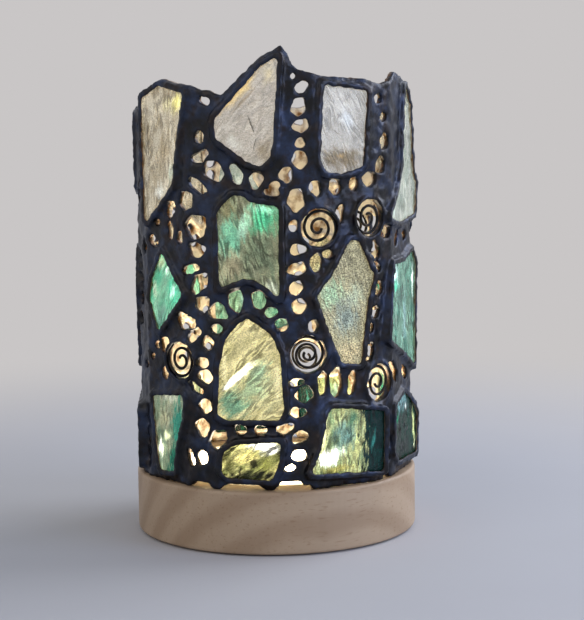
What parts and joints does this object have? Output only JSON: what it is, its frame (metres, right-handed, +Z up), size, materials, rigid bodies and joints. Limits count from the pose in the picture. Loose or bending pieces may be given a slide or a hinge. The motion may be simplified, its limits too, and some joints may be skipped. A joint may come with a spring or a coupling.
{
  "type": "stained-glass lamp",
  "caption": "Freeform stained-glass lamp: flat clear and green panes in a black solder lattice with wire spirals, standing loose on a round wooden light base with a rear switch and power inlet.",
  "frame": {"origin": "middle of the underside of the felt pad, on the table", "axes": "+Z up along the lamp's axis, -Y to the front of the lamp, so the switch and inlet face +Y"},
  "size_m": [0.1023, 0.1017, 0.17],
  "materials": {
    "solder": "black patina over lumpy solder, satin",
    "wire": "black patina on copper wire, satin",
    "glass_clear": "clear hand-rolled glass with seeds and ripples",
    "glass_green": "mint green streaky glass",
    "glass_pale": "pale green seedy glass",
    "glass_gold": "yellow-green streaky glass",
    "glass_dark": "dark teal streaky glass",
    "beech": "turned beech, oiled",
    "frosted_acrylic": "frosted white acrylic",
    "board": "white solder mask",
    "light_chip": "yellow phosphor",
    "black_plastic": "moulded, fine texture",
    "button_plastic": "moulded, smooth",
    "steel": "zinc plated",
    "brass": "turned",
    "felt": "pressed felt",
    "red_insulation": "soft vinyl",
    "black_insulation": "soft vinyl"
  },
  "bodies": {
    "base": {"base_body": "beech", "diffuser": "frosted_acrylic", "light_board": "board", "lights": "light_chip", "resistors": "black_plastic", "board_screws": "steel", "bottom_cover": "black_plastic", "cover_screws": "steel", "felt_pad": "felt", "switch_body": "black_plastic", "switch_nut": "steel", "inlet_socket": "black_plastic", "inlet_pin": "brass", "inlet_nut": "steel", "inlet_lead": "red_insulation", "switched_lead": "red_insulation", "return_lead": "black_insulation"},
    "shade": {"lattice_panel_1": "solder", "lattice_panel_2": "solder", "lattice_panel_3": "solder", "lattice_panel_4": "solder", "lattice_panel_5": "solder", "lattice_panel_6": "solder", "lattice_panel_7": "solder", "lattice_panel_8": "solder", "lattice_panel_9": "solder", "pane_1_tall": "glass_clear", "pane_1_diamond": "glass_green", "pane_1_wedge": "glass_green", "pane_2_peak": "glass_clear", "pane_2_bow": "glass_green", "pane_2_arch": "glass_gold", "pane_2_half_moon": "glass_gold", "pane_3_upright": "glass_clear", "pane_3_kite": "glass_pale", "pane_3_square": "glass_gold", "pane_4_blade": "glass_clear", "pane_4_flag": "glass_green", "pane_4_corner": "glass_dark", "pane_5_tall": "glass_clear", "pane_5_diamond": "glass_green", "pane_5_wedge": "glass_green", "pane_6_upright": "glass_clear", "pane_6_kite": "glass_pale", "pane_6_square": "glass_gold", "pane_7_blade": "glass_clear", "pane_7_flag": "glass_green", "pane_7_corner": "glass_dark", "pane_8_tall": "glass_clear", "pane_8_diamond": "glass_green", "pane_8_wedge": "glass_green", "pane_9_upright": "glass_clear", "pane_9_kite": "glass_pale", "pane_9_square": "glass_gold", "wire_spirals_1": "wire", "wire_spirals_3": "wire", "wire_spirals_5": "wire", "wire_spirals_6": "wire"},
    "button": {"switch_button": "button_plastic"}
  },
  "joints": [
    {"name": "shade_lift", "type": "slide", "parent": "base", "child": "shade", "axis": [0, 0, 1], "range_m": [0, 0.06]},
    {"name": "button_press", "type": "slide", "parent": "base", "child": "button", "axis": [0, -1, 0], "range_m": [0, 0.002], "stiffness_N_per_m": 400}
  ]
}
